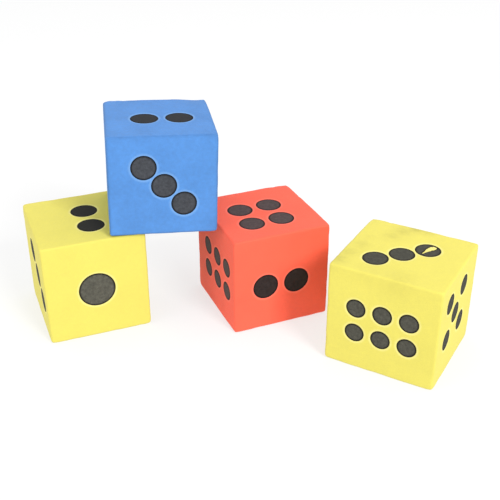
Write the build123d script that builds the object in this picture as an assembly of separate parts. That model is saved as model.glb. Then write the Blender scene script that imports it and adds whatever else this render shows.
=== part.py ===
from build123d import *
from dataclasses import dataclass
from math import atan2, degrees
import os

# A set of four giant foam dice: three stand on the ground, and one is stacked across two of them.
#
# Every die has the same design: a solid block of closed-cell foam with softened edges, and 21 black pips.
# The blocks are cut as 3.5 inch cubes, but soft foam gives under the blade, so each one is up to a few
# millimetres out. Each pip is a thin film disc, heat-pressed into the foam so that it lies just below the
# face. The pips run as on any right-handed die: opposite faces add up to seven, and one, two and three turn
# anticlockwise round the corner that they share.
#
# Units are millimetres. +Z is up, +Y is away from the player and +X is to the right. The origin is on the
# ground, under the middle of the set's bounding box.

# The foam
EDGE_RADIUS = 1.5
POCKET_DEPTH = 0.5  # how far a pip's pocket is pressed into the face

# The film
FILM_THICKNESS = 0.4
FILM_CLEARANCE = 0.05  # between a pip's rim and its pocket's wall

# Pip diameters: one large, two to four medium, five and six small
PIP_DIAMETERS = {"one": 31.3, "two": 23.2, "three": 21.1, "four": 22.4, "five": 17.3, "six": 16.6}

# Pip spacing, from the middle of a pattern
TWO_OFFSET = 14.4
THREE_OFFSET = 16.1
FOUR_OFFSET = 13.7
FIVE_OFFSET = 16.8
SIX_COLUMN = 22.1
SIX_ROW = 11.4

# The ways that a face can look, before its die is turned
RIGHT, AWAY, UP = Vector(1, 0, 0), Vector(0, 1, 0), Vector(0, 0, 1)
LEFT, FRONT, DOWN = -RIGHT, -AWAY, -UP


@dataclass
class Die:
    """One die of the set.

    Its size is its width, depth and height as it lies. Its seat is the middle of its underside. Its one and
    its three face the given ways before the seat turns it. Its pips are pressed by eye, so some patterns
    sit off the middle of their face: each shift is to the right, away and up.
    """

    size: tuple
    seat: Location
    one_faces: Vector
    three_faces: Vector
    shifts: dict

    @property
    def height(self):
        return self.size[2]

    def right_side(self):
        """The middle of the underside's right edge."""
        return self.seat * Pos(self.size[0] / 2, 0, 0)

    def back_side(self):
        """The middle of the underside's back edge."""
        return self.seat * Pos(0, self.size[1] / 2, 0)

    def face_planes(self):
        """Each pattern's face, from the seat, with the face's normal as the plane's z."""
        two_faces = self.three_faces.cross(self.one_faces)
        normals = {"one": self.one_faces, "two": two_faces, "three": self.three_faces}
        normals |= {"six": -self.one_faces, "five": -two_faces, "four": -self.three_faces}
        middle = Vector(0, 0, self.height / 2)
        half_size = Vector(*self.size) / 2
        planes = {}
        for name, out in normals.items():
            x_dir = two_faces if name in ("one", "six") else self.one_faces
            planes[name] = Plane(origin=middle + out * abs(out.dot(half_size)), x_dir=x_dir, z_dir=out)
        return planes


def ground_seat(x, y, turn):
    """A seat on the ground, turned by some degrees about the vertical."""
    return Pos(x, y, 0) * Rot(0, 0, turn)


def stacked(die, tall, low):
    """A die that stands on the ground, moved up so that it is stacked across a tall die and a low one.

    Its underside lies along the tall die's top right edge and leans down to the right, until its own bottom
    right edge meets the low die's top back edge. As all these edges are rounded, about 0.05 mm of air is
    left under it.
    """
    along = die.seat.y_axis.direction
    across = low.seat.y_axis.direction
    start = die.right_side().position
    to_low_back = (low.back_side().position - start).dot(across)
    meeting_point = start + along * (to_low_back / along.dot(across))

    ridge = tall.right_side()
    reach = (ridge.inverse() * Pos(meeting_point)).position.X
    lean = degrees(atan2(tall.height - low.height, reach))
    die.seat = ridge * Pos(0, 0, tall.height) * Rot(0, lean, 0) * ridge.inverse() * die.seat
    return die


LEFT_YELLOW = Die(
    size=(88.2, 91.7, 91.7),
    seat=ground_seat(-136.8, 23.9, 21.4),
    one_faces=FRONT,
    three_faces=LEFT,
    shifts={"one": (-0.6, 0, -0.5), "two": (4.3, -2.0, 0), "three": (0, -9.0, 3.0)},
)
RED = Die(
    size=(89.1, 89.7, 89.2),
    seat=ground_seat(18.1, 39.7, 22.8),
    one_faces=RIGHT,
    three_faces=DOWN,
    shifts={"two": (-1.0, 0, -3.4), "four": (-2.8, -2.9, 0), "six": (0, -3.9, 0)},
)
RIGHT_YELLOW = Die(
    size=(93.8, 89.7, 91.0),
    seat=ground_seat(131.8, -36.4, -29.4),
    one_faces=AWAY,
    three_faces=UP,
    shifts={"three": (-1.9, -3.2, 0), "five": (0, -4.4, 6.5), "six": (0.4, 0, -0.7)},
)
BLUE = stacked(
    Die(
        size=(89.2, 88.8, 86.8),
        seat=ground_seat(-70.9, 37.6, 9.7),
        one_faces=RIGHT,
        three_faces=FRONT,
        shifts={"two": (2.6, -3.3, 0), "three": (0.6, 0, 0.4)},
    ),
    tall=LEFT_YELLOW,
    low=RED,
)
SET = {"left_yellow": LEFT_YELLOW, "red": RED, "right_yellow": RIGHT_YELLOW, "blue": BLUE}


def grid(columns, rows):
    """Every point with one of the given x values and one of the given y values."""
    return [(x, y) for x in columns for y in rows]


def pip_centres():
    """Each pattern's pip centres, on its face's own x and y."""
    return {
        "one": [(0, 0)],
        "two": grid([-TWO_OFFSET, TWO_OFFSET], [0]),
        "three": [(-THREE_OFFSET, THREE_OFFSET), (0, 0), (THREE_OFFSET, -THREE_OFFSET)],
        "four": grid([-FOUR_OFFSET, FOUR_OFFSET], [-FOUR_OFFSET, FOUR_OFFSET]),
        "five": [(0, 0)] + grid([-FIVE_OFFSET, FIVE_OFFSET], [-FIVE_OFFSET, FIVE_OFFSET]),
        "six": grid([-SIX_COLUMN, 0, SIX_COLUMN], [-SIX_ROW, SIX_ROW]),
    }


def discs(die, name, radius, top, bottom):
    """One pattern's pips as discs, from the seat, between two depths below the face."""
    plane = die.face_planes()[name]
    shift = Pos(*die.shifts.get(name, (0, 0, 0)))
    shape = Cylinder(radius, bottom - top, align=(Align.CENTER, Align.CENTER, Align.MIN))
    return [shift * plane.location * Pos(x, y, -bottom) * shape for x, y in pip_centres()[name]]


def film_pips(die, name):
    """One pattern's film pips, lying on the floors of their pockets."""
    radius = PIP_DIAMETERS[name] / 2 - FILM_CLEARANCE
    return discs(die, name, radius, POCKET_DEPTH - FILM_THICKNESS, POCKET_DEPTH)


def foam_block(die):
    """The foam block, with its edges softened and a pocket for every pip."""
    block = Box(*die.size, align=(Align.CENTER, Align.CENTER, Align.MIN))
    block = fillet(block.edges(), EDGE_RADIUS)
    for name, diameter in PIP_DIAMETERS.items():
        block -= discs(die, name, diameter / 2, -POCKET_DEPTH, POCKET_DEPTH)
    return block


def build_set():
    """Every node of the set: its name and its shape."""
    nodes = {}
    for name, die in SET.items():
        nodes[f"{name}_foam_block"] = die.seat * foam_block(die)
        for pattern in PIP_DIAMETERS:
            label = "pip" if pattern == "one" else "pips"
            placed = [die.seat * pip for pip in film_pips(die, pattern)]
            nodes[f"{name}_{label}_{pattern}"] = Compound(children=placed)
    return nodes


if __name__ == "__main__":
    os.makedirs("parts", exist_ok=True)
    for node, shape in build_set().items():
        export_step(shape, f"parts/{node}.step")
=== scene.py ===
import random
from math import cos, pi, radians, sin, tan

import bmesh
import bpy
import numpy as np
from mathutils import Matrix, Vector, noise
from mathutils.geometry import delaunay_2d_cdt


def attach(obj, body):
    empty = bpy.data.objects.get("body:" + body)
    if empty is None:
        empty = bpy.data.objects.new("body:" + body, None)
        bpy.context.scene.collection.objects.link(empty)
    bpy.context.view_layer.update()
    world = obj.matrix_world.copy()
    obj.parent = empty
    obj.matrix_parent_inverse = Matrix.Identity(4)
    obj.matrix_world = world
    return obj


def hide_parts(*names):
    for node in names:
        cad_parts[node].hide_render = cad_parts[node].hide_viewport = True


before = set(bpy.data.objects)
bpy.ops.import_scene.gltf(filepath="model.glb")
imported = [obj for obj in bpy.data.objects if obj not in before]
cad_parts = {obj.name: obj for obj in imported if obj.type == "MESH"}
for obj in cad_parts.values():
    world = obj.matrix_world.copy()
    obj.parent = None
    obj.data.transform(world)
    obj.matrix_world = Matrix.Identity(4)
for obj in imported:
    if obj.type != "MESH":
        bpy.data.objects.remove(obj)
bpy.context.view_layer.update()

# The looks of a set of giant foam dice. Each foam block is remeshed with worn edges, slightly uneven cut
# faces and a soft lip round every pocket. Each pip is a thin film, pressed into its pocket. Lengths are
# millimetres until a mesh is made, which is in metres. The studio's lengths are metres.

MM = 0.001
CAD_WELD, MESH_WELD = 1e-6, 1e-7  # metres within which two points of a mesh are one
FLAT_WELD = 1e-6  # millimetres within which two points of a face are one

# Which way each pattern's face looks on the die's own axes: the axis, and the way along it
FACES = {"one": (0, 1), "two": (1, 1), "three": (2, 1), "four": (2, -1), "five": (1, -1), "six": (0, -1)}

# The foam
GRID = 1.0  # between a face's grid lines
EDGE_RADIUS = 1.9
EDGE_STEPS = 5  # grid lines over half of a rounded edge
WARP_DEPTH, WARP_SIZE = 0.35, 42.0  # the unevenness of a cut face
SKIN_DEPTH, SKIN_SIZE = 0.07, 5.0
WEAR_DEPTH, WEAR_SIZE, WEAR_REACH = 0.3, 11.0, 2.2  # the rubbing away of the edges
WEAR_SPAN = -0.3, 0.7  # the part of the wear's noise over which an edge goes from kept to rubbed

# Random wear, each value from and to: nicks on the edges, dents in the faces, rubbed corners and smudges
DENTS_A_DIE, SMUDGES_A_DIE = 18, 10
NICK_SIZE, NICK_DEPTH = (1.4, 3.2), (0.15, 0.45)
DENT_SIZE, DENT_DEPTH = (3.0, 6.0), (0.08, 0.2)
CORNER_SIZE, CORNER_DEPTH = (2.5, 4), (0.3, 0.8)
SMUDGE_SIZE, SMUDGE_STRENGTH = (3, 9), (0.03, 0.12)
DENT_REACH, SMUDGE_REACH = 0.94, 0.95  # how near the edges they come, with 1 for the edge

# What is added to a die's own seed, so that its patterns differ
SKIN_SEED, WEAR_SEED, WRINKLE_SEED, SMUDGE_SEED, CORNER_SEED = 10, 20, 30, 50, 80
SEED_STEP = 13.7, 5.1, 9.3  # how far one seed moves the noise

# The pockets and the film in them
POCKET_DEPTH = 0.55
LIP_DEPTH, LIP_REACH = 0.16, 0.7  # how far the pressing pulls the foam down round a pip
WALL_WIDTH = 0.04
FILM_CLEARANCE = 0.05  # between a pip's rim and its pocket's wall, as in the CAD
FILM_TOP, FILM_BOTTOM = 0.1, 0.5
RIM_DROP, RIM_REACH = 0.14, 0.7  # how far the film's rim is pressed below its middle
WRINKLE_DEPTH, WRINKLE_SIZE = 0.03, 2.6

# The meshes round a pip. Both sets of rings are measured from its rim, outwards.
FOAM_RINGS = (-1.5, -0.7, -WALL_WIDTH, 0.0, 0.15, 0.4, 0.9, 1.5)
FILM_RINGS = (-1.3, -0.75, -0.45, -0.22, -0.08, 0.0)
RING_SPACING = 0.8  # between the points of a ring
FILM_GRID = 0.9  # between the film's grid lines
INNER_GAP, OUTER_GAP = 0.5, 0.35  # between the foam's rings and its grid points
FILM_GAP = 0.4  # between the film's rings and its grid points
SMALLEST_AREA = 1e-7  # a thinner triangle is left out

# One pip is torn: a sliver of its film is gone. Its outline, from the pip's middle, to the right and away.
TORN_DIE, TORN_PATTERN = "right_yellow", "three"
TEAR = [
    (-2.6, -6.7),
    (-2.2, -2.2),
    (-1.6, 2.7),
    (-0.4, 5.9),
    (1.6, 7.9),
    (4.1, 8.3),
    (5.0, 6.4),
    (4.3, 3.4),
    (2.7, 1.7),
    (2.0, 0.2),
    (-0.1, -2.8),
    (-1.9, -6.8),
]
TEAR_FLOOR = 0.2  # how deep the foam lies where it bulges up through the tear
TEAR_SPACING = 0.5  # between the points of its outline
FOAM_TEAR_GAP, FILM_TEAR_GAP = 0.7, 0.5  # between its outline and the grid points
TEAR_EDGE = 1.5  # how much faster the film's rim fades along the tear than round the pip

# How far the marks reach that the materials read
# how far from an edge the painted edge shade reaches
EDGE_MARK = 1.6
PALE_REACH = 2.0  # the painted highlight: a pale halo round a pip

# How light a pattern's pips are, set face by face: painted light and shade for how light falls on each face
USUAL_INK = 0.95
FACE_LIGHT_IN_INK = {
    ("left_yellow", "one"): 1.18,
    ("left_yellow", "two"): 0.26,
    ("left_yellow", "three"): 0.38,
    ("right_yellow", "three"): 0.8,
    ("right_yellow", "five"): 0.5,
    ("red", "two"): 0.34,
    ("blue", "two"): 0.4,
    ("blue", "three"): 0.9,
}

# Colours: the foams, the pale halo painted round their pips as a highlight, and the film
YELLOW, PALE_YELLOW = (0.735, 0.65, 0.118), (0.82, 0.74, 0.26)
BLUE, PALE_BLUE = (0.076, 0.237, 0.58), (0.17, 0.35, 0.66)
RED, PALE_RED = (0.98, 0.124, 0.068), (0.98, 0.18, 0.12)
INK, SHOW_THROUGH = 0.052, 0.027  # the film's own tone, and how much of the foam's colour shows through it

# Each foam: its colour, its halo's colour, how dark the painted shade along its edges is, and how strong its
# mottling is
FOAMS = {
    "yellow": (YELLOW, PALE_YELLOW, 0.92, 0.03),
    "blue": (BLUE, PALE_BLUE, 0.62, 0.11),
    "red": (RED, PALE_RED, 0.92, 0.06),
}
DICE = {"left_yellow": "yellow", "red": "red", "right_yellow": "yellow", "blue": "blue"}

# Where most values of a noise lie
MIDDLE, WIDE_MIDDLE = (0.35, 0.65), (0.3, 0.7)

# The foam's material. Sizes and bump heights are millimetres, shades multiply the foam's colour, and the
# amounts are how much of a shade is mixed in.
BLOTCH_SIZE, MOTTLE_SIZE, EDGE_SHADE_SIZE, PATCH_SIZE = 26, 3.2, 7, 4
BLOTCH_SHARE, MOTTLE_SHARE = 0.45, 0.55
CELL_SIZE, FINE_CELL_SIZE, FINE_CELL_SHARE = 0.62, 0.3, 0.4
CELL_SPAN = 0.05, 0.55  # from a cell's middle to its walls
# painted shade in the pits of the foam's cells, and how much of it is mixed in
PIT_PAINTED_SHADE, PIT_AMOUNT = 0.6, 0.12
HALO_AMOUNT = 0.6
LEAST_EDGE_SHADE, LEAST_PATCH = 0.5, 0.5  # what is left of the painted edge shade and of smudges where they are faintest
PATCH_SPAN = 0.3, 0.6
DIRT_SHADE = 0.55
FOAM_ROUGHNESS, FOAM_SPECULAR = (0.72, 0.9), 0.35
FOAM_SHEEN, SHEEN_ROUGHNESS = 0.06, 0.5
CELL_BUMP, MOTTLE_BUMP = -0.12, 0.15

# The film's material, likewise
FILM_MOTTLE_SIZE, SPECKLE_SIZE = 2.6, 0.9
FILM_MOTTLE_SPAN, SPECKLE_SPAN = (0.35, 0.68), (0.62, 0.75)
FILM_SHADES, SPECKLE_SHADE, SPECKLE_AMOUNT = (0.78, 1.3), 1.8, 0.5
RIM_PAINTED_SHADE, RIM_FADE = 0.16, (0.4, 2.2)  # the rim's painted shade, where the film turns down into its groove, and how far from the rim it fades
FILM_ROUGHNESS, FILM_SPECULAR = (0.55, 0.72), 0.1
FILM_CELL_BUMP, FILM_MOTTLE_BUMP = -0.06, 0.08

# The studio, with the soft boxes' power in watts
ROOM_LIGHT = 0.85
FAR_FLOOR = 0.92  # how bright the room looks to the camera, so that the floor's edge hardly shows
FLOOR_SIZE, FLOOR_GREY, FLOOR_GLOW, FLOOR_ROUGHNESS = 30, 0.305, 0.65, 0.9
LIGHT_TARGET = Vector((0, 0, 0.06))
SOFT_BOXES = {
    "overhead": {"place": (0, 0.1, 1.8), "size": 1.6, "power": 3.5},
    "left": {"place": (-1.7, -0.9, 0.7), "size": 1.2, "power": 8.5},
    "front_right": {"place": (1.54, -2.12, 1.97), "size": 0.9, "power": 69},
}
CAMERA_PLACE = 0.0076, -0.634, 0.4298
CAMERA_DIP = 29.37  # degrees that the camera looks down
LENS, SENSOR_WIDTH = 62, 36  # millimetres

# Dents and smudges listed one by one: a place from -1 to 1 across the die, a size, and a depth or strength
DENTS = {"blue": [((-1, 1, 1), 3.6, 1.2), ((0.8, 1, 1), 11, 1.2)], "red": [((0.9, 1, 1), 7, 0.6)]}
SMUDGES = {
    "right_yellow": [
        ((-0.93, -0.75, 1), 8, 0.5),
        ((-0.86, -0.45, 1), 8, 0.4),
        ((-0.78, -0.1, 1), 8, 0.3),
        ((-0.42, 0.5, 1), 8, 0.3),
        ((-0.3, 0.75, 1), 8, 0.4),
        ((-0.15, 0.95, 1), 8, 0.6),
        ((0.05, 0.97, 1), 7, 0.5),
        ((-0.3, -0.8, 1), 12, 0.15),
        ((0.2, -0.85, 1), 14, 0.2),
    ],
    "red": [((-1, -1, 0.1), 5, 0.1)],
}

RIGHT, AWAY, UP = np.eye(3)


def smooth(x, low, high):
    """0 below low, 1 above high, and an S-curve between them."""
    t = np.clip((x - low) / (high - low), 0, 1)
    return t * t * (3 - 2 * t)


def waves(points, size, seed):
    """Smooth noise from about -1 to 1 at each point, with lumps of one size."""
    shift = Vector([seed * step for step in SEED_STEP])
    return np.array([noise.noise(Vector(p) / size + shift) for p in points])


def solids_of(node):
    """The points of each separate solid in a CAD node."""
    mesh = bmesh.new()
    mesh.from_mesh(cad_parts[node].data)
    bmesh.ops.remove_doubles(mesh, verts=mesh.verts, dist=CAD_WELD)
    seen = set()
    solids = []
    for start in mesh.verts:
        if start in seen:
            continue
        found = [start]
        seen.add(start)
        for vert in found:
            linked = [edge.other_vert(vert) for edge in vert.link_edges]
            fresh = [other for other in linked if other not in seen]
            seen.update(fresh)
            found += fresh
        solids.append(np.array([vert.co for vert in found]) / MM)
    mesh.free()
    return solids


def node_of(die, pattern):
    """The name of the CAD node that holds one pattern's pips."""
    return f"{die}_{'pip' if pattern == 'one' else 'pips'}_{pattern}"


class Face:
    """One face of a die, on the die's own axes: its normal and its own two axes."""

    def __init__(self, pattern, half_size):
        axis, way = FACES[pattern]
        axes = np.eye(3)
        self.normal = axes[axis] * way
        self.u = axes[(axis + 1) % 3]
        self.v = axes[(axis + 2) % 3] * way
        self.half_size = half_size

    def reach(self, axis):
        """How far the block reaches from its middle along an axis."""
        return self.half_size @ np.abs(axis)

    def point(self, flat):
        """Points on the flat face, from places across it."""
        return flat[:, :1] * self.u + flat[:, 1:2] * self.v + self.reach(self.normal) * self.normal

    def flat(self, points):
        """Where points lie across the face."""
        return np.stack([points @ self.u, points @ self.v], axis=-1)


class Die:
    """A die's own frame and its pips, read from its CAD nodes.

    On its own axes, its one faces +x, its two faces +y and its three faces +z.
    """

    def __init__(self, name, seed):
        self.name = name
        self.seed = seed
        block = solids_of(f"{name}_foam_block")[0]
        self.centre = (block.min(axis=0) + block.max(axis=0)) / 2
        self.axes = np.array([self.outward(pattern) for pattern in ("one", "two", "three")])
        self.half_size = np.ptp(self.local(block), axis=0) / 2
        self.faces = {pattern: Face(pattern, self.half_size) for pattern in FACES}
        self.pips = {pattern: self.read_pips(pattern) for pattern in FACES}
        self.dents = []
        self.smudges = []

    def outward(self, pattern):
        """The outward normal of a pattern's face, from the flat discs on it."""
        disc = solids_of(node_of(self.name, pattern))[0]
        middle = disc.mean(axis=0)
        normal = np.linalg.svd(disc - middle)[2][2]
        return normal * np.sign(normal @ (middle - self.centre))

    def local(self, points):
        """Points in the set's frame, on the die's own axes."""
        return (points - self.centre) @ self.axes.T

    def world(self, points):
        """Points on the die's own axes, in the set's frame."""
        return points @ self.axes + self.centre

    def looking(self, way):
        """Which of the die's own axes, either way along it, looks most nearly a way of the set's frame."""
        ways = np.concatenate([np.eye(3), -np.eye(3)])
        return max(ways, key=lambda own: own @ self.axes @ way)

    def place(self, right, away, up):
        """A point on the die's own axes. Each number goes from -1 to 1 across the die as it lies."""
        turned = right * self.looking(RIGHT) + away * self.looking(AWAY) + up * self.looking(UP)
        return turned * self.half_size

    def read_pips(self, pattern):
        """Each pip's middle on its face, and its film's radius."""
        found = []
        for disc in solids_of(node_of(self.name, pattern)):
            flat = self.faces[pattern].flat(self.local(disc))
            low, high = flat.min(axis=0), flat.max(axis=0)
            found.append((tuple((low + high) / 2), (high - low).mean() / 2))
        return sorted(found)

    def from_edge(self, points):
        """How far points on the block's faces are from the nearest edge."""
        return np.sort(self.half_size - np.abs(points), axis=1)[:, 1]

    def relief(self, points):
        """How far the worn surface lies inside the perfect one, at points on the die's own axes."""
        worn = np.exp(-((self.from_edge(points) / WEAR_REACH) ** 2))
        depth = WARP_DEPTH * (0.5 + 0.5 * waves(points, WARP_SIZE, self.seed))
        depth += SKIN_DEPTH * (0.5 + 0.5 * waves(points, SKIN_SIZE, self.seed + SKIN_SEED))
        depth += WEAR_DEPTH * worn * smooth(waves(points, WEAR_SIZE, self.seed + WEAR_SEED), *WEAR_SPAN)
        for middle, size, dent_depth in self.dents:
            away = np.linalg.norm((points - middle) / size, axis=1)
            depth += dent_depth * np.exp(-(away**2))
        return depth

    def smudged(self, points):
        """How dirty each point is, from 0 to 1."""
        dirt = np.zeros(len(points))
        for middle, size, strength in self.smudges:
            away = np.linalg.norm((points - middle) / size, axis=1)
            dirt = np.maximum(dirt, strength * np.exp(-(away**2)))
        return dirt


def rings(middle, rim, steps):
    """Circles round a pip's middle, at some steps out from its rim, with as many points on each."""
    count = round(2 * pi * rim / RING_SPACING)
    turns = [2 * pi * i / count for i in range(count)]
    return [[(middle[0] + (rim + step) * cos(turn), middle[1] + (rim + step) * sin(turn)) for turn in turns]
            for step in steps]


def resample(outline, spacing):
    """A closed outline as evenly spaced points on a smooth curve through its corners."""
    corners = np.array(outline)
    count = len(corners)
    points = []
    for i in range(count):
        before, start, end, after = (corners[(i + k) % count] for k in (-1, 0, 1, 2))
        steps = max(1, round(np.linalg.norm(end - start) / spacing))
        for t in np.arange(steps) / steps:
            bend = (2 * before - 5 * start + 4 * end - after) * t**2
            twist = (3 * start - before - 3 * end + after) * t**3
            points.append(tuple(start + 0.5 * ((end - before) * t + bend + twist)))
    return points


def inside(points, outline):
    """Whether each point is inside a closed outline."""
    x, y = np.asarray(points).T
    result = np.zeros(len(x), bool)
    for (x0, y0), (x1, y1) in zip(outline, outline[1:] + outline[:1]):
        if y0 != y1:
            crosses = (y0 > y) != (y1 > y)
            result ^= crosses & (x < (x1 - x0) * (y - y0) / (y1 - y0) + x0)
    return result


def triangulate(points, loops):
    """Delaunay triangles over loose points and closed loops: the points, and the triangles' corners."""
    verts = [Vector(p) for p in points]
    edges = []
    for loop in loops:
        first = len(verts)
        verts += [Vector(p) for p in loop]
        edges += [(first + i, first + (i + 1) % len(loop)) for i in range(len(loop))]
    made = delaunay_2d_cdt(verts, edges, [], 0, FLAT_WELD)
    flat = np.array([tuple(v) for v in made[0]])
    corners = np.array([face for face in made[2] if len(face) == 3])
    a, b, c = (flat[corners[:, i]] for i in range(3))
    area = (b[:, 0] - a[:, 0]) * (c[:, 1] - a[:, 1]) - (b[:, 1] - a[:, 1]) * (c[:, 0] - a[:, 0])
    corners[area < 0] = corners[area < 0][:, ::-1]
    return flat, corners[np.abs(area) > SMALLEST_AREA]


def grid_lines(half):
    """Grid lines across a face: even over the flat, and even in angle over the rounded edges."""
    flat = half - EDGE_RADIUS
    middle = np.linspace(-flat, flat, round(2 * flat / GRID) + 1)
    outer = [flat + EDGE_RADIUS * tan(pi / 4 * i / EDGE_STEPS) for i in range(1, EDGE_STEPS + 1)]
    return [-x for x in reversed(outer)] + list(middle) + outer


def tear_of(die, pattern):
    """The tear on a face: the middle of the pip that it is in, and its outline. Other faces have none."""
    if (die.name, pattern) != (TORN_DIE, TORN_PATTERN):
        return None, []
    face = die.faces[pattern]
    right, away = (face.flat(die.looking(way)) for way in (RIGHT, AWAY))
    torn = max((middle for middle, _ in die.pips[pattern]), key=lambda middle: (right + away) @ middle)
    return torn, resample([torn + right * x + away * y for x, y in TEAR], TEAR_SPACING)


def foam_face(die, pattern):
    """One face of a foam block: its points on the die's own axes, its triangles, and the marks of its painted
    highlight round the pips and of its paler torn foam.
    """
    face = die.faces[pattern]
    columns, rows = (grid_lines(face.reach(axis)) for axis in (face.u, face.v))
    points = np.array([(x, y) for x in columns for y in rows])
    clear = np.ones(len(points), bool)
    loops = []
    for middle, film_radius in die.pips[pattern]:
        rim = film_radius + FILM_CLEARANCE
        away = np.linalg.norm(points - middle, axis=1) - rim
        clear &= (away < FOAM_RINGS[0] - INNER_GAP) | (away > FOAM_RINGS[-1] + OUTER_GAP)
        loops += rings(middle, rim, FOAM_RINGS)
    tear = tear_of(die, pattern)[1]
    if tear:
        clear &= inside(points, tear) | (distances(points, tear) > FOAM_TEAR_GAP)
        loops = [loop for loop in loops if not inside(loop, tear).any()] + [tear]
    flat, corners = triangulate(points[clear], loops)

    depth = np.zeros(len(flat))
    lip = np.zeros(len(flat))
    for middle, film_radius in die.pips[pattern]:
        away = np.linalg.norm(flat - middle, axis=1) - film_radius - FILM_CLEARANCE
        outside = away > -WALL_WIDTH / 2
        pulled = np.exp(-((np.maximum(away, 0) / LIP_REACH) ** 1.5))
        depth = np.maximum(depth, np.where(outside, LIP_DEPTH * pulled, POCKET_DEPTH))
        # round each pip a pale halo: a painted highlight
        lip = np.maximum(lip, outside * (1 - smooth(away, PALE_REACH / 2, PALE_REACH)))
    if tear:
        torn = inside(flat, tear)
        depth[torn] = TEAR_FLOOR
        # the foam in the tear is paler
        lip[torn] = 1

    square = face.point(flat)
    inner = np.clip(square, EDGE_RADIUS - die.half_size, die.half_size - EDGE_RADIUS)
    out = square - inner
    out /= np.linalg.norm(out, axis=1, keepdims=True)
    perfect = inner + out * EDGE_RADIUS
    sunk = die.relief(perfect) + depth
    return perfect - out * sunk[:, None], corners, lip


def distances(points, outline):
    """How far each point is from the nearest corner of an outline."""
    return np.linalg.norm(points[:, None, :] - np.array(outline)[None], axis=2).min(axis=1)


def make_piece(name, die, parts, marks, material, node):
    """A closed mesh from parts of points and triangles on the die's own axes, which stands for a CAD node."""
    points, corners, first = [], [], 0
    for part_points, part_corners in parts:
        points.append(part_points)
        corners.append(part_corners + first)
        first += len(part_points)
    mesh = bpy.data.meshes.new(name)
    mesh.from_pydata((die.world(np.concatenate(points)) * MM).tolist(), [], np.concatenate(corners).tolist())
    for mark, values in marks.items():
        attribute = mesh.attributes.new(mark, "FLOAT", "POINT")
        attribute.data.foreach_set("value", np.concatenate(values).astype(np.float32))
    welded = bmesh.new()
    welded.from_mesh(mesh)
    bmesh.ops.remove_doubles(welded, verts=welded.verts, dist=MESH_WELD)
    unused = [vert for vert in welded.verts if not vert.link_faces]
    bmesh.ops.delete(welded, geom=unused, context="VERTS")
    bmesh.ops.recalc_face_normals(welded, faces=welded.faces)
    for polygon in welded.faces:
        polygon.smooth = True
    welded.to_mesh(mesh)
    welded.free()

    piece = bpy.data.objects.new(name, mesh)
    bpy.context.scene.collection.objects.link(piece)
    mesh.materials.append(material)
    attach(piece, f"{die.name}_die")
    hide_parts(node)


def make_foam(die, material):
    """A die's foam block. Its marks say how near a point is to an edge and to a pip, which carry its painted
    edge shade and its painted highlight round the pips, and how dirty it is.
    """
    parts = []
    marks = {"edge": [], "lip": [], "dirt": []}
    for pattern in FACES:
        points, corners, lip = foam_face(die, pattern)
        parts.append((points, corners))
        marks["edge"].append(np.exp(-((die.from_edge(points) / EDGE_MARK) ** 2)))
        marks["lip"].append(lip)
        marks["dirt"].append(die.smudged(points))
    make_piece(f"{die.name}_foam", die, parts, marks, material, f"{die.name}_foam_block")


def film_disc(die, pattern, middle, radius):
    """One film pip: its points on the die's own axes, its triangles, and each point's distance to the rim."""
    face = die.faces[pattern]
    steps = np.arange(-radius, radius, FILM_GRID)
    points = np.array([(x, y) for x in steps for y in steps]) + middle
    points = points[np.linalg.norm(points - middle, axis=1) < radius + FILM_RINGS[0] - FILM_GAP]
    loops = rings(middle, radius, FILM_RINGS)
    torn, tear = tear_of(die, pattern)
    is_torn = torn == middle
    if is_torn:
        points = points[~inside(points, tear) & (distances(points, tear) > FILM_TEAR_GAP)]
        loops.append(tear)
    flat, corners = triangulate(points, loops)
    from_rim = radius - np.linalg.norm(flat - middle, axis=1)
    if is_torn:
        corners = corners[~inside(flat[corners].mean(axis=1), tear)]
        from_rim = np.minimum(from_rim, distances(flat, tear) * TEAR_EDGE)

    surface = face.point(flat)
    drop = RIM_DROP * (1 - smooth(from_rim, 0, RIM_REACH)) ** 1.5
    wrinkle = WRINKLE_DEPTH * (1 - waves(surface, WRINKLE_SIZE, die.seed + WRINKLE_SEED))
    wrinkle *= smooth(from_rim, 0, 1)
    relief = die.relief(surface)
    top = surface - face.normal * (relief + FILM_TOP + drop + wrinkle)[:, None]
    bottom = surface - face.normal * (relief + FILM_BOTTOM)[:, None]

    count = len(flat)
    sides = border_of(corners)
    walls = [(b, a, a + count) for a, b in sides] + [(b, a + count, b + count) for a, b in sides]
    triangles = np.concatenate([corners, corners[:, ::-1] + count, np.array(walls)])
    return np.concatenate([top, bottom]), triangles, np.tile(from_rim, 2)


def border_of(corners):
    """The edges that only one triangle has, each in its triangle's own order."""
    edges = {(t[i], t[(i + 1) % 3]) for t in corners.tolist() for i in range(3)}
    return [(a, b) for a, b in edges if (b, a) not in edges]


def make_film(die, pattern, material):
    """One pattern's film pips. Their marks say how far a point is from the rim, and how light the ink is made
    on this face, as painted light and shade.
    """
    parts = []
    marks = {"from_rim": [], "face_light_in_ink": []}
    for middle, radius in die.pips[pattern]:
        points, triangles, from_rim = film_disc(die, pattern, middle, radius)
        parts.append((points, triangles))
        marks["from_rim"].append(from_rim)
        marks["face_light_in_ink"].append(np.full(len(points), FACE_LIGHT_IN_INK.get((die.name, pattern), USUAL_INK)))
    node = node_of(die.name, pattern)
    make_piece(f"{node}_film", die, parts, marks, material, node)


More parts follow.
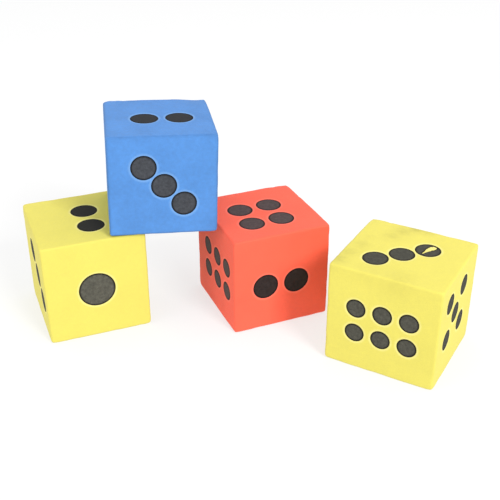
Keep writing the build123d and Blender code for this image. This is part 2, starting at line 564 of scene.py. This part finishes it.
class Shader:
    """Adds nodes to one new material."""

    def __init__(self, name):
        self.material = bpy.data.materials.new(name)
        self.material.use_nodes = True
        self.tree = self.material.node_tree
        self.surface = self.tree.nodes["Principled BSDF"]
        self.place = self.add("ShaderNodeTexCoord").outputs["Object"]

    def add(self, kind, settings=None, **inputs):
        """A new node, with its settings and its inputs: each a value or another node's output."""
        node = self.tree.nodes.new(kind)
        for key, value in (settings or {}).items():
            setattr(node, key, value)
        for key, value in inputs.items():
            self.give(node, key.replace("_", " "), value)
        return node

    def give(self, node, key, value):
        """Sets one input of a node, by name or number."""
        socket = node.inputs[int(key[1:])] if key[0] == "i" and key[1:].isdigit() else node.inputs[key]
        if isinstance(value, bpy.types.NodeSocket):
            self.tree.links.new(value, socket)
        else:
            socket.default_value = value

    def noise(self, size, detail=2.0, rough=0.5):
        """Noise from 0 to 1, with lumps of some millimetres."""
        scale = 1 / (size * MM)
        node = self.add("ShaderNodeTexNoise", Vector=self.place, Scale=scale, Detail=detail, Roughness=rough)
        return node.outputs["Fac"]

    def cells(self, size):
        """The distance from each foam cell's middle, with cells of some millimetres."""
        node = self.add("ShaderNodeTexVoronoi", Vector=self.place, Scale=1 / (size * MM))
        return node.outputs["Distance"]

    def product(self, a, b):
        """Two values multiplied."""
        return self.add("ShaderNodeMath", {"operation": "MULTIPLY"}, i0=a, i1=b).outputs[0]

    def added(self, a, share, rest):
        """A share of a value, added to the rest."""
        return self.add("ShaderNodeMath", {"operation": "MULTIPLY_ADD"}, i0=a, i1=share, i2=rest).outputs[0]

    def scaled(self, value, span, low, high, kind="LINEAR"):
        """A value moved from its span to another range, from low to high, and held inside it."""
        node = self.add("ShaderNodeMapRange", {"interpolation_type": kind}, Value=value)
        for key, bound in (("From Min", span[0]), ("From Max", span[1]), ("To Min", low), ("To Max", high)):
            self.give(node, key, bound)
        return node.outputs["Result"]

    def mixed(self, factor, a, b):
        """Two colours mixed."""
        node = self.add("ShaderNodeMix", {"data_type": "RGBA"})
        for index, value in ((0, factor), (6, a), (7, b)):
            self.give(node, f"i{index}", value)
        return node.outputs[2]

    def mark(self, name):
        """A number kept on the mesh's points."""
        return self.add("ShaderNodeAttribute", {"attribute_name": name}).outputs["Fac"]

    def bump(self, height, distance, before=None):
        """A normal bent by a height, with distance in millimetres for a height of 1."""
        node = self.add("ShaderNodeBump", Height=height, Distance=distance * MM, Strength=1.0)
        if before is not None:
            self.give(node, "Normal", before)
        return node.outputs["Normal"]


def tinted(colour, gain=1.0):
    """A colour made lighter or darker."""
    return tuple(min(1.0, c * gain) for c in colour) + (1.0,)


def foam_material(name, colour, pale, painted_edge_shade, mottling):
    """Matte closed-cell foam: fine cut cells with painted shade in their pits, mottling, painted shade along
    the edges, smudges, a pale painted highlight round each pip, and paler foam in the tear.
    """
    shader = Shader(name)
    blotch = shader.noise(BLOTCH_SIZE)
    mottle = shader.noise(MOTTLE_SIZE, detail=4, rough=0.6)
    cell = shader.cells(CELL_SIZE)

    tone = shader.added(blotch, BLOTCH_SHARE, shader.product(mottle, MOTTLE_SHARE))
    dark, light = tinted(colour, 1 - mottling), tinted(colour, 1 + mottling)
    base = shader.mixed(shader.scaled(tone, MIDDLE, 0, 1), dark, light)
    # painted shade in the pits of the cells
    pits = shader.scaled(cell, CELL_SPAN, 0, PIT_AMOUNT)
    base = shader.mixed(pits, base, tinted(colour, PIT_PAINTED_SHADE))
    # the pale halo round each pip is a painted highlight; inside the tear the foam is paler
    halo = shader.product(shader.mark("lip"), HALO_AMOUNT)
    base = shader.mixed(halo, base, tinted(pale))
    # painted shade along the edges, in patches
    patchy_edge_shade = shader.scaled(shader.noise(EDGE_SHADE_SIZE), MIDDLE, LEAST_EDGE_SHADE, 1)
    base = shader.mixed(shader.product(shader.mark("edge"), patchy_edge_shade), base, tinted(colour, painted_edge_shade))
    patchy = shader.scaled(shader.noise(PATCH_SIZE, detail=3), PATCH_SPAN, LEAST_PATCH, 1)
    base = shader.mixed(shader.product(shader.mark("dirt"), patchy), base, tinted(colour, DIRT_SHADE))

    shader.give(shader.surface, "Base Color", base)
    shader.give(shader.surface, "Roughness", shader.scaled(mottle, WIDE_MIDDLE, *FOAM_ROUGHNESS))
    shader.give(shader.surface, "Specular IOR Level", FOAM_SPECULAR)
    shader.give(shader.surface, "Sheen Weight", FOAM_SHEEN)
    shader.give(shader.surface, "Sheen Roughness", SHEEN_ROUGHNESS)
    height = shader.added(shader.cells(FINE_CELL_SIZE), FINE_CELL_SHARE, cell)
    normal = shader.bump(height, CELL_BUMP)
    shader.give(shader.surface, "Normal", shader.bump(mottle, MOTTLE_BUMP, normal))
    return shader.material


def film_material(name, foam_colour):
    """A black film, a fraction of a millimetre thick: the foam's colour and cells show through its ink, and
    its rim is painted darker, as shade where it turns down into its groove.
    """
    shader = Shader(name)
    mottle = shader.noise(FILM_MOTTLE_SIZE, detail=4, rough=0.65)
    speckle = shader.noise(SPECKLE_SIZE)
    shown = tuple(INK + SHOW_THROUGH * c for c in foam_colour)

    dark, light = (tinted(shown, shade) for shade in FILM_SHADES)
    middle = shader.mixed(shader.scaled(mottle, FILM_MOTTLE_SPAN, 0, 1), dark, light)
    speckled = shader.scaled(speckle, SPECKLE_SPAN, 0, SPECKLE_AMOUNT)
    middle = shader.mixed(speckled, middle, tinted(shown, SPECKLE_SHADE))
    # each face's pips made lighter or darker: painted light and shade
    ink = shader.mark("face_light_in_ink")
    face_lit_middle = shader.add("ShaderNodeVectorMath", {"operation": "SCALE"}, i0=middle, Scale=ink)
    # the rim painted darker: painted shade where the film turns down into its groove
    inner = shader.scaled(shader.mark("from_rim"), RIM_FADE, 0, 1, kind="SMOOTHSTEP")
    base = shader.mixed(inner, tinted(shown, RIM_PAINTED_SHADE), face_lit_middle.outputs["Vector"])

    shader.give(shader.surface, "Base Color", base)
    shader.give(shader.surface, "Roughness", shader.scaled(mottle, WIDE_MIDDLE, *FILM_ROUGHNESS))
    shader.give(shader.surface, "Specular IOR Level", FILM_SPECULAR)
    normal = shader.bump(mottle, FILM_MOTTLE_BUMP)
    shader.give(shader.surface, "Normal", shader.bump(shader.cells(CELL_SIZE), FILM_CELL_BUMP, normal))
    return shader.material


def random_dents(die):
    """Small nicks along a die's edges, and shallower dents in its faces."""
    chance = random.Random(die.seed)
    dents = []
    for i in range(DENTS_A_DIE):
        place = np.array([chance.uniform(-DENT_REACH, DENT_REACH) for _ in range(3)])
        axes = chance.sample(range(3), 2 if i % 3 else 1)
        for axis in axes:
            place[axis] = chance.choice((-1, 1))
        on_edge = len(axes) == 2
        size = chance.uniform(*(NICK_SIZE if on_edge else DENT_SIZE))
        depth = chance.uniform(*(NICK_DEPTH if on_edge else DENT_DEPTH))
        dents.append((place * die.half_size, size, depth))
    return dents


def worn_corners(die):
    """Every corner, worn a little rounder than the edges."""
    chance = random.Random(die.seed + CORNER_SEED)
    corners = [np.array((x, y, z)) * die.half_size for x in (-1, 1) for y in (-1, 1) for z in (-1, 1)]
    return [(corner, chance.uniform(*CORNER_SIZE), chance.uniform(*CORNER_DEPTH)) for corner in corners]


def random_smudges(die):
    """Faint dirty patches, scattered over the faces."""
    chance = random.Random(die.seed + SMUDGE_SEED)
    smudges = []
    for _ in range(SMUDGES_A_DIE):
        place = np.array([chance.uniform(-SMUDGE_REACH, SMUDGE_REACH) for _ in range(3)])
        place[chance.randrange(3)] = chance.choice((-1, 1))
        size = chance.uniform(*SMUDGE_SIZE)
        smudges.append((place * die.half_size, size, chance.uniform(*SMUDGE_STRENGTH)))
    return smudges


def make_die(name, seed, foam, film):
    """One die: its worn foam block and its film pips."""
    die = Die(name, seed)
    die.dents = random_dents(die) + worn_corners(die)
    die.dents += [(die.place(*spot), size, depth) for spot, size, depth in DENTS.get(name, [])]
    die.smudges = random_smudges(die)
    die.smudges += [(die.place(*spot), size, strength) for spot, size, strength in SMUDGES.get(name, [])]
    make_foam(die, foam)
    for pattern in FACES:
        make_film(die, pattern, film)


def make_floor():
    """A plain pale floor."""
    bpy.ops.mesh.primitive_plane_add(size=FLOOR_SIZE)
    floor = bpy.context.object
    floor.name = "floor"
    shader = Shader("floor")
    shader.give(shader.surface, "Base Color", (FLOOR_GREY, FLOOR_GREY, FLOOR_GREY, 1))
    shader.give(shader.surface, "Roughness", FLOOR_ROUGHNESS)
    shader.give(shader.surface, "Specular IOR Level", 0.0)
    shader.give(shader.surface, "Emission Color", (1, 1, 1, 1))
    shader.give(shader.surface, "Emission Strength", FLOOR_GLOW)
    floor.data.materials.append(shader.material)


def soft_box(name, place, size, power):
    """A square light that is aimed at the dice."""
    light = bpy.data.lights.new(name, "AREA")
    light.size = size
    light.energy = power
    lamp = bpy.data.objects.new(name, light)
    lamp.location = place
    lamp.rotation_euler = (LIGHT_TARGET - lamp.location).to_track_quat("-Z", "Y").to_euler()
    bpy.context.scene.collection.objects.link(lamp)


def make_room():
    """A white room all round, which looks a little brighter to the camera than the light that it gives."""
    world = bpy.data.worlds.new("room")
    world.use_nodes = True
    tree = world.node_tree
    strength = tree.nodes.new("ShaderNodeMapRange")
    strength.inputs["To Min"].default_value = ROOM_LIGHT
    strength.inputs["To Max"].default_value = FAR_FLOOR
    tree.links.new(tree.nodes.new("ShaderNodeLightPath").outputs["Is Camera Ray"], strength.inputs["Value"])
    background = tree.nodes["Background"]
    background.inputs["Color"].default_value = (1, 1, 1, 1)
    tree.links.new(strength.outputs["Result"], background.inputs["Strength"])
    bpy.context.scene.world = world


def make_camera():
    """The camera, level from side to side and looking down on the set along +Y."""
    data = bpy.data.cameras.new("camera")
    data.sensor_width = SENSOR_WIDTH
    data.lens = LENS
    camera = bpy.data.objects.new("camera", data)
    camera.location = CAMERA_PLACE
    camera.rotation_euler = (radians(90 - CAMERA_DIP), 0, 0)
    bpy.context.scene.collection.objects.link(camera)
    bpy.context.scene.camera = camera


foams = {name: foam_material(f"{name}_foam", *look) for name, look in FOAMS.items()}
films = {name: film_material(f"{name}_film", look[0]) for name, look in FOAMS.items()}
for seed, (name, colour) in enumerate(DICE.items(), start=1):
    make_die(name, seed, foams[colour], films[colour])

make_floor()
make_room()
for name, values in SOFT_BOXES.items():
    soft_box(name, **values)
make_camera()
bpy.context.scene.view_settings.view_transform = "Standard"
